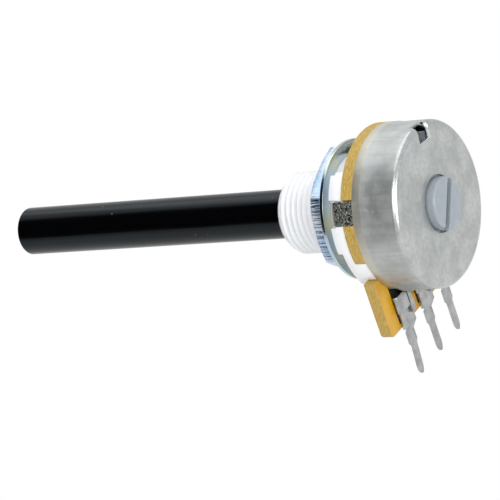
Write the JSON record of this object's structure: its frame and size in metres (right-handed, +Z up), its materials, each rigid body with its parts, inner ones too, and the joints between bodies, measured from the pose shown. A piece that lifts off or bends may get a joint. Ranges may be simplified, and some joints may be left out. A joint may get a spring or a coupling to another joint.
{
  "type": "rotary potentiometer",
  "caption": "Panel-mount rotary potentiometer: a long round shaft turns in a threaded white bush with nut and washer, with a metal can behind and a row of solder pins below.",
  "frame": {"origin": "on the shaft axis, in the face of the housing that seats on the rear of a panel", "axes": "-Y along the shaft towards its tip, +Z up, solder pins down along -Z"},
  "size_m": [0.0202, 0.0622, 0.03],
  "materials": {
    "black_shaft_plastic": "moulded black, semi-gloss",
    "white_housing_plastic": "moulded white, satin",
    "zinc_plated_steel": "bright zinc plate over turned and stamped steel",
    "board_laminate": "paper laminate, satin face and dull sawn edge",
    "carbon_print": "screen-printed carbon, dull black",
    "silver_print": "screen-printed conductive ink, dull black",
    "tinned_brass": "tin plate over stamped brass strip",
    "tinned_steel": "tin plate over drawn steel, soft sheen, faint mottling",
    "natural_rotor_plastic": "natural moulded nylon, slightly milky",
    "spring_bronze": "bright phosphor bronze spring strip"
  },
  "bodies": {
    "case": {"bush_housing": "white_housing_plastic", "hex_nut": "zinc_plated_steel", "washer": "zinc_plated_steel", "track_board": "board_laminate", "carbon_track": "carbon_print", "collector_ring": "silver_print", "terminal_1": "tinned_brass", "terminal_2": "tinned_brass", "terminal_3": "tinned_brass", "rear_cover": "tinned_steel"},
    "spindle": {"shaft": "black_shaft_plastic", "rotor": "natural_rotor_plastic", "wiper_contact": "spring_bronze"}
  },
  "joints": [
    {"name": "shaft_turn", "type": "hinge", "parent": "case", "child": "spindle", "pos_m": [0, 0, 0], "axis": [0, 1, 0], "range_deg": [-300, 0]}
  ]
}
